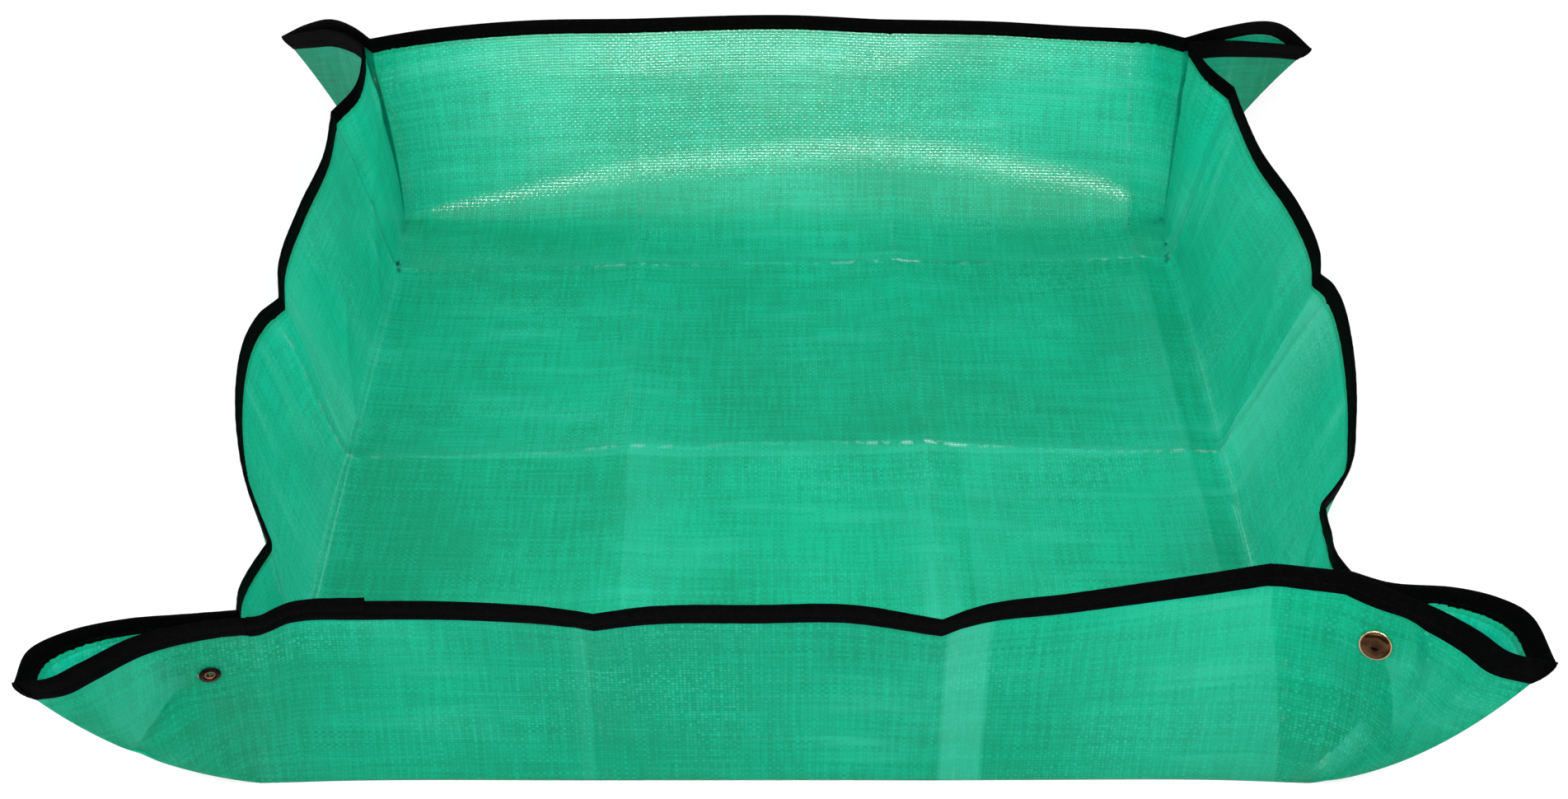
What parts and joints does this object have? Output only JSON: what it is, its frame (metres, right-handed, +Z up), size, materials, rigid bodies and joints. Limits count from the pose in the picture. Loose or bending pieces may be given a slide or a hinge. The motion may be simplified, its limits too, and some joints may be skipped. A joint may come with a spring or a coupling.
{
  "type": "repotting mat",
  "caption": "Square sheet of coated woven cloth with a black bound edge, its corners pinched and snapped into ears so that its edges stand up as the low walls of a potting tray.",
  "frame": {"origin": "centre of the floor's underside, on the table", "axes": "+Z up, out of the open top; +Y towards the back wall, the widest bend; +X to the right in the picture"},
  "size_m": [0.6812, 0.6624, 0.1424],
  "materials": {
    "coated_sheet": "green coated woven polyethylene, satin",
    "binding_tape": "black woven tape, matt",
    "sewing_thread": "black thread",
    "antique_brass": "dark antique brass",
    "snap_steel": "nickel plated"
  },
  "bodies": {
    "tray": {"floor_panel": "coated_sheet", "front_wall": "coated_sheet", "back_wall": "coated_sheet", "left_wall": "coated_sheet", "right_wall": "coated_sheet", "ear_inner_front_left": "coated_sheet", "ear_inner_front_right": "coated_sheet", "ear_outer_back_left": "coated_sheet", "ear_outer_back_right": "coated_sheet", "binding_front": "binding_tape", "binding_back": "binding_tape", "binding_left": "binding_tape", "binding_right": "binding_tape", "thread_front": "sewing_thread", "thread_back": "sewing_thread", "thread_left": "sewing_thread", "thread_right": "sewing_thread", "snap_cap_front_left": "antique_brass", "snap_socket_front_left": "snap_steel", "snap_spring_front_left": "snap_steel", "snap_stud_front_right": "snap_steel", "snap_eyelet_front_right": "antique_brass", "snap_cap_back_left": "antique_brass", "snap_socket_back_left": "snap_steel", "snap_spring_back_left": "snap_steel", "snap_stud_back_right": "snap_steel", "snap_eyelet_back_right": "antique_brass"},
    "flap_front_left": {"ear_outer_front_left": "coated_sheet", "ear_binding_front_left": "binding_tape", "ear_thread_front_left": "sewing_thread", "snap_stud_front_left": "snap_steel", "snap_eyelet_front_left": "antique_brass"},
    "flap_front_right": {"ear_outer_front_right": "coated_sheet", "ear_binding_front_right": "binding_tape", "ear_thread_front_right": "sewing_thread", "snap_cap_front_right": "antique_brass", "snap_socket_front_right": "snap_steel", "snap_spring_front_right": "snap_steel"},
    "flap_back_left": {"ear_inner_back_left": "coated_sheet", "ear_binding_back_left": "binding_tape", "ear_thread_back_left": "sewing_thread", "snap_stud_back_left": "snap_steel", "snap_eyelet_back_left": "antique_brass"},
    "flap_back_right": {"ear_inner_back_right": "coated_sheet", "ear_binding_back_right": "binding_tape", "ear_thread_back_right": "sewing_thread", "snap_cap_back_right": "antique_brass", "snap_socket_back_right": "snap_steel", "snap_spring_back_right": "snap_steel"}
  },
  "joints": [
    {"name": "flap_front_left_peel", "type": "hinge", "parent": "tray", "child": "flap_front_left", "pos_m": [-0.25425, -0.2555, -0.00425], "axis": [0.4023, 0.4259, -0.8104], "range_deg": [0, 15]},
    {"name": "flap_front_right_peel", "type": "hinge", "parent": "tray", "child": "flap_front_right", "pos_m": [0.25275, -0.25975, -0.007], "axis": [0.4066, -0.3803, 0.8307], "range_deg": [0, 15]},
    {"name": "flap_back_left_peel", "type": "hinge", "parent": "tray", "child": "flap_back_left", "pos_m": [-0.25, 0.254, 0.00625], "axis": [0.5615, -0.6016, -0.5682], "range_deg": [0, 15]},
    {"name": "flap_back_right_peel", "type": "hinge", "parent": "tray", "child": "flap_back_right", "pos_m": [0.25, 0.255, 0.00725], "axis": [0.6563, 0.4804, 0.5819], "range_deg": [0, 15]}
  ]
}
